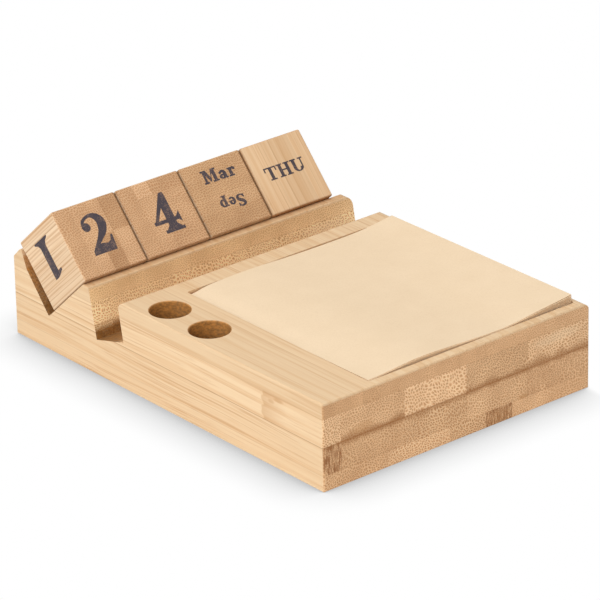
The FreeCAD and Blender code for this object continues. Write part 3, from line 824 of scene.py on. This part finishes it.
CAPITALS = {
    "A": (104, (("poly", (42, 100), (52, 100), (22, 8), (12, 8)),
                ("poly", (40, 100), (62, 100), (94, 8), (68, 8)), ("bar", 28, 30, 74, 40),
                ("bar", 0, 0, 38, 10), ("bar", 56, 0, 104, 10))),
    "D": (92, (("bar", 12, 0, 36, 100), ("arc", 34, 50, 56, 50, -90, 90, 26, 10), ("bar", 0, 0, 36, 10),
               ("bar", 0, 90, 36, 100))),
    "E": (88, (("bar", 12, 0, 36, 100), ("bar", 0, 0, 86, 10), ("bar", 0, 90, 84, 100),
               ("bar", 34, 46, 60, 56), ("bar", 56, 34, 64, 68), ("bar", 76, 70, 84, 100),
               ("bar", 78, 0, 86, 32))),
    "F": (84, (("bar", 12, 0, 36, 100), ("bar", 0, 0, 50, 10), ("bar", 0, 90, 82, 100),
               ("bar", 34, 46, 60, 56), ("bar", 56, 34, 64, 68), ("bar", 74, 68, 82, 100))),
    "H": (104, (("bar", 12, 0, 36, 100), ("bar", 68, 0, 92, 100), ("bar", 34, 45, 70, 55),
                ("bar", 0, 0, 46, 10), ("bar", 58, 0, 104, 10), ("bar", 0, 90, 46, 100),
                ("bar", 58, 90, 104, 100))),
    "I": (50, (("bar", 13, 0, 37, 100), ("bar", 0, 0, 50, 10), ("bar", 0, 90, 50, 100))),
    "J": (68, (("bar", 32, 26, 56, 100), ("bar", 18, 90, 68, 100), ("arc", 29, 28, 27, 28, 180, 360, 22, 10),
               ("dot", 14, 28, 12))),
    "M": (122, (("bar", 12, 0, 30, 100), ("bar", 84, 0, 111, 100),
                ("poly", (11, 100), (42, 100), (69, 30), (57, 4)),
                ("poly", (100, 100), (84, 100), (54, 8), (62, 26)), ("bar", 0, 0, 40, 12),
                ("bar", 72, 0, 122, 12), ("bar", 0, 88, 36, 100), ("bar", 88, 88, 122, 100))),
    "N": (104, (("bar", 14, 0, 24, 100), ("bar", 82, 0, 92, 100),
                ("poly", (12, 100), (38, 100), (92, 0), (74, 0)), ("bar", 0, 0, 38, 10),
                ("bar", 68, 90, 104, 100), ("bar", 0, 90, 34, 100))),
    "O": (94, (("arc", 47, 50, 47, 50, 0, 360, 26, 9),)),
    "R": (98, (("bar", 12, 0, 36, 100), ("arc", 38, 74, 42, 26, -90, 90, 24, 9), ("bar", 34, 48, 40, 57),
               ("bar", 34, 91, 40, 100), ("bar", 0, 0, 48, 10), ("bar", 0, 90, 38, 100),
               ("pen", (44, 54, 12), (62, 44, 20), (68, 22, 23), (76, 6, 14), (96, 5, 9)))),
    "S": (78, (("pen", (70, 72, 10), (58, 92, 12), (36, 95, 13), (18, 84, 23), (18, 66, 27),
                (38, 52, 29), (60, 36, 28), (60, 16, 23), (42, 5, 13), (20, 8, 12), (8, 28, 10)),
               ("bar", 66, 68, 74, 98), ("bar", 3, 2, 11, 34))),
    "T": (94, (("bar", 35, 0, 59, 100), ("bar", 22, 0, 72, 10), ("bar", 0, 90, 94, 100),
               ("bar", 0, 66, 9, 100), ("bar", 85, 66, 94, 100))),
    "U": (102, (("bar", 12, 32, 36, 100), ("bar", 78, 32, 88, 100), ("arc", 50, 34, 38, 34, 180, 360, 23, 10),
                ("bar", 0, 90, 48, 100), ("bar", 66, 90, 102, 100))),
    "W": (138, (("poly", (8, 100), (32, 100), (54, 20), (46, 0), (40, 0)),
                ("poly", (46, 0), (54, 0), (72, 76), (68, 92)),
                ("poly", (56, 100), (80, 100), (102, 20), (94, 0), (88, 0)),
                ("poly", (94, 0), (102, 0), (128, 100), (118, 100)), ("bar", 0, 90, 42, 100),
                ("bar", 50, 90, 88, 100), ("bar", 106, 90, 138, 100))),
}
SMALL_LETTERS = {
    "a": (70, (("bar", 36, 8, 61, 48), ("arc", 34, 42, 26, 25, 0, 160, 25, 12), ("dot", 15, 50, 10),
               ("arc", 28, 19, 27, 19, 0, 360, 23, 11), ("pen", (49, 14, 20), (56, 5, 12), (68, 8, 8)))),
    "b": (74, (("bar", 10, 4, 32, 100), ("bar", 0, 91, 30, 100), ("arc", 40, 33, 32, 34, 0, 360, 22, 9))),
    "c": (62, (("arc", 32, 33, 30, 34, 60, 320, 22, 9), ("dot", 50, 50, 10))),
    "e": (64, (("arc", 32, 33, 31, 34, 0, 325, 24, 12), ("bar", 14, 28, 60, 38))),
    "g": (66, (("arc", 30, 44, 27, 23, 0, 360, 19, 8), ("arc", 32, -12, 30, 18, 0, 360, 14, 9),
               ("pen", (16, 26, 9), (14, 14, 12), (34, 6, 12)), ("pen", (48, 60, 8), (60, 66, 9)))),
    "l": (46, (("bar", 12, 0, 34, 100), ("bar", 0, 0, 46, 9), ("bar", 0, 91, 30, 100))),
    "n": (84, (("bar", 10, 0, 32, 66), ("bar", 50, 0, 72, 42), ("arc", 46, 40, 26, 27, 0, 130, 22, 10),
               ("bar", 0, 0, 40, 9), ("bar", 44, 0, 82, 9), ("bar", 0, 57, 30, 66))),
    "o": (66, (("arc", 33, 33, 33, 34, 0, 360, 22, 9),)),
    "p": (76, (("bar", 9, -30, 33, 66), ("bar", 0, -30, 43, -19), ("bar", 0, 55, 30, 66),
               ("arc", 40, 33, 33, 34, 0, 360, 25, 12))),
    "r": (62, (("bar", 9, 0, 34, 66), ("bar", 0, 0, 43, 11), ("bar", 0, 55, 30, 66),
               ("pen", (28, 46, 11), (38, 60, 12), (52, 62, 12)), ("dot", 52, 53, 11))),
    "t": (48, (("bar", 12, 14, 34, 88), ("bar", 0, 57, 46, 66),
               ("pen", (23, 18, 22), (30, 5, 12), (46, 10, 8)))),
    "u": (84, (("bar", 10, 22, 32, 66), ("bar", 50, 0, 72, 66), ("arc", 36, 26, 26, 26, 180, 290, 22, 10),
               ("bar", 0, 57, 30, 66), ("bar", 40, 57, 70, 66), ("bar", 70, 0, 82, 9))),
    "v": (74, (("poly", (6, 66), (30, 66), (44, 14), (36, 0), (30, 0)),
               ("poly", (36, 0), (42, 0), (68, 66), (58, 66)), ("bar", 0, 57, 38, 66),
               ("bar", 48, 57, 76, 66))),
    "y": (74, (("poly", (6, 66), (30, 66), (44, 14), (38, 0), (32, 0)),
               ("poly", (38, 4), (46, 10), (68, 66), (58, 66)),
               ("pen", (42, 8, 8), (32, -16, 9), (18, -26, 9)), ("dot", 12, -20, 10), ("bar", 0, 57, 38, 66),
               ("bar", 48, 57, 76, 66))),
}
GLYPHS = {**NUMERALS, **CAPITALS, **SMALL_LETTERS}


def oval_points(cx, cy, rx, ry, start, end):
    """Points 10 degrees apart on an oval, from one angle to the other."""
    steps = max(2, round(abs(end - start) / 10))
    angles = [math.radians(start + (end - start) * step / steps) for step in range(steps + 1)]
    return [Vector((cx + rx * math.cos(a), cy + ry * math.sin(a))) for a in angles]


def pen_outline(points):
    """Outline of a stroke whose middle passes smoothly through (x, y, width) points."""
    knots = [Vector(p) for p in points]
    knots = [2 * knots[0] - knots[1]] + knots + [2 * knots[-1] - knots[-2]]
    middle = []
    steps = 5
    for p0, p1, p2, p3 in zip(knots, knots[1:], knots[2:], knots[3:]):
        for step in range(steps):
            t = step / steps
            middle.append(0.5 * (2 * p1 + (p2 - p0) * t + (2 * p0 - 5 * p1 + 4 * p2 - p3) * t ** 2
                                 + (3 * p1 - p0 - 3 * p2 + p3) * t ** 3))
    middle.append(knots[-2])
    left, right = [], []
    for i, point in enumerate(middle):
        ahead = (middle[min(i + 1, len(middle) - 1)] - middle[max(i - 1, 0)]).xy.normalized()
        side = Vector((-ahead.y, ahead.x)) * point.z / 2
        left.append(point.xy + side)
        right.append(point.xy - side)
    return left + right[::-1]


def glyph_outlines(strokes):
    """Closed outlines of a glyph's strokes, which may overlap."""
    outlines = []
    for kind, *values in strokes:
        if kind == "bar":
            x0, y0, x1, y1 = values
            outlines.append([Vector(p) for p in ((x0, y0), (x1, y0), (x1, y1), (x0, y1))])
        elif kind == "poly":
            outlines.append([Vector(p) for p in values])
        elif kind == "dot":
            cx, cy, radius = values
            outlines.append(oval_points(cx, cy, radius, radius, 0, 350))
        elif kind == "pen":
            outlines.append(pen_outline(values))
        elif kind == "arc":
            cx, cy, rx, ry, start, end, side, top = values
            middle = (start + end) / 2
            # in two halves, so that a whole ring keeps its hole
            for a, b in ((start, middle), (middle, end)):
                outer = oval_points(cx, cy, rx, ry, a, b)
                inner = oval_points(cx, cy, rx - side, ry - top, b, a)
                outlines.append(outer + inner)
    return outlines


def merged_faces(outlines):
    """One flat mesh with no overlaps from outlines that overlap: its points and its triangles."""
    points = []
    loops = []
    for outline in outlines:
        area = sum(a.x * b.y - b.x * a.y for a, b in zip(outline, outline[1:] + outline[:1]))
        if area < 0:
            outline = outline[::-1]
        loops.append(list(range(len(points), len(points) + len(outline))))
        points.extend(outline)
    verts, _, faces, _, _, sources = delaunay_2d_cdt(points, [], loops, 1, 1e-4)
    return verts, [face for face, source in zip(faces, sources) if source]


def print_word(name, word, height, stretch, gap, centre, right, up, body, material):
    """Stamp a word or a numeral on a face, centred there, as a thin film of ink.

    height is that of a capital, stretch widens the letters, and gap is what lies between them, in hundredths
    of the height. right and up are the ways that the text runs and stands.
    """
    film = bpy.context.scene.desk_calendar_print.film
    outlines = []
    pen_x = 0
    for letter in word:
        width, strokes = GLYPHS[letter]
        shift = Vector((pen_x, 0))
        outlines.extend([[p + shift for p in outline] for outline in glyph_outlines(strokes)])
        pen_x += width + gap
    verts, faces = merged_faces(outlines)
    half = (pen_x - gap) / 2
    mesh = bpy.data.meshes.new(name)
    mesh.from_pydata([((v.x - half) * stretch, v.y - 50, 0) for v in verts], [], faces)
    piece = bpy.data.objects.new(name, mesh)
    bpy.context.scene.collection.objects.link(piece)
    for other in bpy.context.selected_objects:
        other.select_set(False)
    bpy.context.view_layer.objects.active = piece
    piece.select_set(True)
    bpy.ops.object.mode_set(mode="EDIT")
    bpy.ops.mesh.select_all(action="SELECT")
    bpy.ops.mesh.dissolve_limited(angle_limit=math.radians(1))
    bpy.ops.mesh.normals_make_consistent(inside=False)
    bpy.ops.object.mode_set(mode="OBJECT")
    normal = right.cross(up)
    turn = Matrix((right, up, normal)).transposed().to_4x4()
    mesh.transform(Matrix.Translation(centre) @ turn @ Matrix.Scale(height / 100, 4))
    if mesh.polygons[0].normal.dot(normal) < 0:
        mesh.flip_normals()
    solidify = piece.modifiers.new("Ink film", "SOLIDIFY")
    solidify.thickness = film
    solidify.offset = 1
    bpy.ops.object.modifier_apply(modifier=solidify.name)
    mesh.materials.append(material)
    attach(piece, body)


def block_faces(node):
    """Each face of a date block: a corner of its print, the way its text runs and stands, and its size."""
    low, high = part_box(node)
    rounding = BLOCK_EASE * (math.cos(GROOVE_SLOPE) + math.sin(GROOVE_SLOPE) - 1)
    width = high.x - low.x
    front_edge = Vector((low.x, low.y - rounding, low.z - rounding + BLOCK_CUT * math.sin(GROOVE_SLOPE)))
    row, down, off = ALONG_ROW, DOWN_SLOPE, OFF_SLOPE
    far = front_edge + row * width + down * BLOCK_CUT + off * BLOCK_BAR
    return front_edge, width, {
        "front": (front_edge, row, off, width, BLOCK_BAR),
        "crown": (front_edge + off * BLOCK_BAR, row, down, width, BLOCK_CUT),
        "seat": (front_edge + down * BLOCK_CUT, row, -down, width, BLOCK_CUT),
        "rear": (far - row * width, row, -off, width, BLOCK_BAR),
        "left_end": (front_edge + off * BLOCK_BAR, down, -off, BLOCK_CUT, BLOCK_BAR),
        "right_end": (front_edge + row * width, down, off, BLOCK_CUT, BLOCK_BAR),
    }


def face_point(face, across, up):
    """A point on a face, by its distance across and up from the corner where its text starts."""
    corner, right, upward, _, _ = face
    return corner + right * across + upward * up


# ---------------------------------------------------------------- operators

class DESKCAL_OT_bamboo_block(bpy.types.Operator):
    """Give each strip of the glued block its bamboo finish"""
    bl_idname = "deskcal.bamboo_block"
    bl_label = "Bamboo block"

    def execute(self, context):
        corner = (-block_left / MM, -block_front / MM, 0.0)
        slots = {s["node"]: s["material_slot"] for s in frame["record"]["subparts"]}
        for slot_name, strip in STRIPS.items():
            nodes = [node for node, slot in slots.items() if slot == slot_name]
            if not nodes:
                raise RuntimeError("no strip of the block has the finish " + slot_name)
            boxes = [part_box(node) for node in nodes]
            left = min(low.x for low, high in boxes)
            right = max(high.x for low, high in boxes)
            bottom = min(low.z for low, high in boxes)
            top = max(high.z for low, high in boxes)
            glue_x = [(x - block_left) / MM for x in (left, right) if block_left + MM < x < block_right - MM]
            glue_z = [z / MM for z in (bottom, top) if MM < z < block_top - MM]
            across = ((left - block_left) / MM, (right - block_left) / MM)
            material = bamboo("Sanded bamboo " + slot_name, strip, corner, (0, 0, 0), (0, 1, 0), across,
                              glue_x, glue_z, hollows=not slot_name.startswith("bottom"),
                              eased_at=block_top / MM if slot_name.startswith("top") else 0.0)
            for node in nodes:
                dress(node, material)
        return {"FINISHED"}


class DESKCAL_OT_date_blocks(bpy.types.Operator):
    """Give the four date blocks the finish of the thin plies that they are glued from"""
    bl_idname = "deskcal.date_blocks"
    bl_label = "Date blocks"

    def execute(self, context):
        for node, look in DATE_BLOCKS.items():
            front_edge, width, _ = block_faces(node)
            if look["grain"] == "down slope":
                turn, fibre = GROOVE_SLOPE, DOWN_SLOPE
            else:
                turn, fibre = GROOVE_SLOPE - math.pi / 2, OFF_SLOPE
            place = -(Matrix.Rotation(turn, 3, "X") @ front_edge) / MM
            material = bamboo("Sanded bamboo " + node, look["strip"], place, (turn, 0, 0), fibre,
                              (0.0, width / MM), plies=look["plies"])
            dress(node, material)
        return {"FINISHED"}


class DESKCAL_OT_printed_numerals(bpy.types.Operator):
    """Stamp the numerals on the tens block and the units block"""
    bl_idname = "deskcal.printed_numerals"
    bl_label = "Printed numerals"

    def execute(self, context):
        ink = bpy.data.materials.get("Matt stamping ink") or ink_surface()
        height = context.scene.desk_calendar_print.numeral_height
        numerals = {
            "tens_block": dict(front="2", crown="0", seat="6", rear="7", left_end="1", right_end="8"),
            "units_block": dict(front="4", crown="5", seat="0", rear="1", left_end="2", right_end="3"),
        }
        # across and up from the corner of the face that its text starts from
        places = {("tens_block", "front"): (12.65, 13.9), ("units_block", "front"): (13.25, 13.05),
                  ("tens_block", "left_end"): (12.9, 11.2)}
        for node, on_faces in numerals.items():
            faces = block_faces(node)[2]
            body = node.replace("_block", "")
            for side, numeral in on_faces.items():
                face = faces[side]
                across, up = places.get((node, side), (face[3] / MM / 2, face[4] / MM / 2))
                centre = face_point(face, across * MM, up * MM)
                print_word(f"{body}_numeral_{numeral}", numeral, height, 1.0, 0, centre, face[1], face[2],
                           body, ink)
        return {"FINISHED"}


class DESKCAL_OT_printed_names(bpy.types.Operator):
    """Stamp two months on each face of the month block, and one weekday on each face of the last block"""
    bl_idname = "deskcal.printed_names"
    bl_label = "Printed months and weekdays"

    def execute(self, context):
        sizes = context.scene.desk_calendar_print
        ink = bpy.data.materials.get("Matt stamping ink") or ink_surface()
        months = dict(front=("Mar", "Sep"), crown=("Jan", "Jul"), seat=("Feb", "Aug"), rear=("Apr", "Oct"),
                      left_end=("May", "Nov"), right_end=("Jun", "Dec"))
        faces = block_faces("month_block")[2]
        for side, (upright, inverted) in months.items():
            face = faces[side]
            # the side in view is stamped a little to the right
            middle = face[3] / 2 + (1.1 * MM if side == "front" else 0.0)
            for word, size, above, way in ((upright, 1.06, 7.1, 1), (inverted, 0.93, -3.9, -1)):
                centre = face_point(face, middle, face[4] / 2 + above * MM)
                print_word("month_" + word, word, size * sizes.month_height, 1.06, 7, centre,
                           way * face[1], way * face[2], "month", ink)
        weekdays = dict(front=("THU",), crown=("FRI",), seat=("WED",), rear=("TUE",), left_end=("MON",),
                        right_end=("SAT", "SUN"))
        faces = block_faces("weekday_block")[2]
        for side, names in weekdays.items():
            face = faces[side]
            for number, name in enumerate(names):
                lift = (len(names) - 1) * (0.5 - number) * 9 * MM
                centre = face_point(face, face[3] / 2, face[4] / 2 + 1.1 * MM + lift)
                print_word("weekday_" + name, name, sizes.weekday_height, 1.12, 6, centre, face[1], face[2],
                           "weekday", ink)
        return {"FINISHED"}


def smooth_curve(share, stops):
    """A height that runs smoothly through (share, height) stops."""
    slopes = [0.0]
    for (x0, y0), (x1, y1), (x2, y2) in zip(stops, stops[1:], stops[2:]):
        slopes.append((y2 - y0) / (x2 - x0))
    slopes.append((stops[-1][1] - stops[-2][1]) / (stops[-1][0] - stops[-2][0]))
    for number, ((x0, y0), (x1, y1)) in enumerate(zip(stops, stops[1:])):
        if share <= x1:
            reach = x1 - x0
            t = (share - x0) / reach
            rise = (3 - 2 * t) * t * t
            bend = slopes[number] * t * (1 - t) ** 2 - slopes[number + 1] * t * t * (1 - t)
            return y0 + (y1 - y0) * rise + bend * reach
    return stops[-1][1]


class DESKCAL_OT_memo_sheets(bpy.types.Operator):
    """Lay the pad of memo sheets in its pocket, with the top sheets curling up at the right"""
    bl_idname = "deskcal.memo_sheets"
    bl_label = "Memo sheets"

    def execute(self, context):
        look = context.scene.desk_calendar_memo
        paper = paper_surface("Kraft paper sheet", 0.6)
        loose_low, loose_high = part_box("memo_loose_sheets")
        left, right = loose_low.x, loose_high.x
        front, back = loose_low.y, loose_high.y
        count = look.loose_sheets
        room = block_top - loose_low.z
        # how far the top sheet stands above the block along its front and its back edge
        front_rise = ((0.0, 0.0), (0.25, 1.2 * MM), (0.52, 0.3 * MM), (0.67, 0.1 * MM), (0.82, 1.3 * MM),
                      (0.965, 2.5 * MM), (1.0, 2.8 * MM))
        back_rise = ((0.0, -1.0 * MM), (0.1, 0.1 * MM), (0.3, 0.5 * MM), (0.5, 0.1 * MM), (0.7, 0.15 * MM),
                     (0.85, 0.6 * MM), (1.0, 2.2 * MM))
        for number in range(count):
            lift = ((number + 1) / count) ** 1.3
            name = f"memo_sheet_{number + 1:02d}"
            bpy.ops.object.select_all(action="DESELECT")
            bpy.ops.mesh.primitive_grid_add(x_subdivisions=60, y_subdivisions=30, size=2)
            sheet = context.active_object
            sheet.name = name
            sheet.data.name = name
            skew = random.Random(number).uniform(-0.12, 0.12) * MM
            for vertex in sheet.data.vertices:
                u = (vertex.co.x + 1) / 2
                v = (vertex.co.y + 1) / 2
                pull = 1.2 * MM * u * u * v * lift
                rise = (1 - v) * smooth_curve(u, front_rise) + v * smooth_curve(u, back_rise)
                vertex.co = (left + 0.05 * MM + (right - left - 0.4 * MM) * u,
                             front + 0.2 * MM + skew * (1 - v) + (back - front - 0.4 * MM) * v - pull,
                             loose_low.z + room * (number + 1) / count - look.sheet_thickness + rise * lift)
            solidify = sheet.modifiers.new("Paper", "SOLIDIFY")
            solidify.thickness = look.sheet_thickness
            solidify.offset = 1
            bpy.ops.object.modifier_apply(modifier=solidify.name)
            sheet.data.materials.append(paper)
            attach(sheet, "memo")
        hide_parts("memo_loose_sheets")
        dress("memo_stack", paper)
        return {"FINISHED"}


class DESKCAL_OT_stage(bpy.types.Operator):
    """Set up the camera, the white floor and the soft lamps"""
    bl_idname = "deskcal.stage"
    bl_label = "Stage"

    def execute(self, context):
        look = context.scene.desk_calendar_stage
        self.place_camera(context, look)
        self.lay_floor(context)
        self.hang_lamps(context, look)
        context.scene.view_settings.view_transform = "Standard"
        return {"FINISHED"}

    def place_camera(self, context, look):
        camera_data = bpy.data.cameras.new("Product camera")
        camera_data.sensor_width = 36
        camera_data.lens = look.focal_length
        camera_data.clip_end = 20
        camera = bpy.data.objects.new("Product camera", camera_data)
        context.scene.collection.objects.link(camera)
        ahead = Vector((math.sin(look.camera_turn) * math.cos(look.camera_dip),
                        math.cos(look.camera_turn) * math.cos(look.camera_dip),
                        -math.sin(look.camera_dip)))
        level = ahead.cross(Vector((0, 0, 1))).normalized()
        upward = level.cross(ahead)
        right = math.cos(look.camera_roll) * level + math.sin(look.camera_roll) * upward
        up = right.cross(ahead)
        turn = Matrix((right, up, -ahead)).transposed().to_4x4()
        camera.matrix_world = Matrix.Translation(Vector(look.camera_place)) @ turn
        context.scene.camera = camera

    def lay_floor(self, context):
        bpy.ops.object.select_all(action="DESELECT")
        bpy.ops.mesh.primitive_plane_add(size=8)
        floor = context.active_object
        floor.name = "floor"
        material, tree = new_surface("White paper sweep")
        rays = add_node(tree, "ShaderNodeLightPath")
        seen = add_node(tree, "ShaderNodeMath", EITHER,
                        {0: rays["Is Camera Ray"], 1: rays["Is Glossy Ray"]})[0]
        seen = add_node(tree, "ShaderNodeMath", EITHER,
                        {0: seen, 1: rays["Is Transmission Ray"]})[0]
        # for camera rays the floor glows white at strength 1, with a painted shadow at the block's foot drawn
        # from the share of open sky over it
        open_sky = add_node(tree, "ShaderNodeAmbientOcclusion", {"samples": 24}, {"Distance": 21 * MM})["AO"]
        # the painted shadow is faded out by place on the floor, to the right of the block
        coords = add_node(tree, "ShaderNodeTexCoord")
        place = add_node(tree, "ShaderNodeSeparateXYZ", {}, {"Vector": coords["Object"]})
        shadow_fade = add_node(tree, "ShaderNodeMapRange", SOFT_STEP, {
            "Value": place["X"], "From Min": block_right - 3 * MM, "From Max": block_right + 4 * MM,
            "To Min": 0.0, "To Max": 0.45})[0]
        open_sky = add_node(tree, "ShaderNodeMath", EITHER, {0: open_sky, 1: shadow_fade})[0]
        # the share of open sky over a spot, and how bright the paper is there
        greys = ((0.50, 0.55), (0.53, 0.62), (0.58, 0.72), (0.66, 0.81), (0.736, 0.865), (0.876, 0.95),
                 (0.97, 1.0))
        shadow = add_node(tree, "ShaderNodeValToRGB", {}, {"Fac": open_sky},
                          [(share, (grey, grey, grey, 1)) for share, grey in greys])["Color"]
        paper = add_node(tree, "ShaderNodeBsdfDiffuse", {}, {"Color": (0.88, 0.88, 0.88, 1)})[0]
        bright = add_node(tree, "ShaderNodeEmission", {}, {"Color": shadow, "Strength": 1.0})[0]
        surface = add_node(tree, "ShaderNodeMixShader", {}, {0: seen, 1: paper, 2: bright})[0]
        add_node(tree, "ShaderNodeOutputMaterial", {}, {"Surface": surface})
        floor.data.materials.append(material)

    def hang_lamps(self, context, look):
        world = bpy.data.worlds.new("Studio")
        context.scene.world = world
        world.use_nodes = True
        tree = world.node_tree
        tree.nodes.clear()
        rays = add_node(tree, "ShaderNodeLightPath")
        seen = add_node(tree, "ShaderNodeMath", EITHER,
                        {0: rays["Is Camera Ray"], 1: rays["Is Glossy Ray"]})[0]
        strength = add_node(tree, "ShaderNodeMapRange", {}, {
            "Value": seen, "To Min": look.daylight, "To Max": 1.0})[0]
        background = add_node(tree, "ShaderNodeBackground", {}, {
            "Color": (1, 1, 1, 1), "Strength": strength})[0]
        add_node(tree, "ShaderNodeOutputWorld", {}, {"Surface": background})
        lamps = (
            # name, place, size, watts
            ("Overhead softbox", (-0.30, 0.0, 1.1), 0.9, look.overhead),
            ("Left softbox", (-1.02, -0.52, 0.7), 0.8, look.side_light),
        )
        for name, place, size, watts in lamps:
            data = bpy.data.lights.new(name, "AREA")
            data.shape = "SQUARE"
            data.size = size
            data.energy = watts
            lamp = bpy.data.objects.new(name, data)
            context.scene.collection.objects.link(lamp)
            aim = -Vector(place)
            lamp.matrix_world = Matrix.Translation(place) @ aim.to_track_quat("-Z", "Y").to_matrix().to_4x4()


class DESKCAL_PT_panel(bpy.types.Panel):
    """Steps and settings of the desk calendar"""
    bl_label = "Desk Calendar"
    bl_idname = "DESKCAL_PT_panel"
    bl_space_type = "VIEW_3D"
    bl_region_type = "UI"
    bl_category = "Desk Calendar"

    def draw(self, context):
        for step in STEPS:
            self.layout.operator(step.bl_idname)
        for name in SETTINGS:
            group = getattr(context.scene, name)
            box = self.layout.box()
            for prop in type(group).__annotations__:
                box.prop(group, prop)


STEPS = (
    DESKCAL_OT_bamboo_block,
    DESKCAL_OT_date_blocks,
    DESKCAL_OT_printed_numerals,
    DESKCAL_OT_printed_names,
    DESKCAL_OT_memo_sheets,
    DESKCAL_OT_stage,
)
SETTINGS = {
    "desk_calendar_bamboo": BambooSettings,
    "desk_calendar_print": PrintSettings,
    "desk_calendar_memo": MemoSettings,
    "desk_calendar_stage": StageSettings,
}


def register():
    for cls in (*SETTINGS.values(), *STEPS, DESKCAL_PT_panel):
        bpy.utils.register_class(cls)
    for name, cls in SETTINGS.items():
        setattr(bpy.types.Scene, name, PointerProperty(type=cls))


def unregister():
    for name in SETTINGS:
        delattr(bpy.types.Scene, name)
    for cls in (DESKCAL_PT_panel, *reversed(STEPS), *reversed(SETTINGS.values())):
        bpy.utils.unregister_class(cls)


def main():
    register()
    bpy.ops.deskcal.bamboo_block()
    bpy.ops.deskcal.date_blocks()
    bpy.ops.deskcal.printed_numerals()
    bpy.ops.deskcal.printed_names()
    bpy.ops.deskcal.memo_sheets()
    bpy.ops.deskcal.stage()


if __name__ == "__main__":
    main()
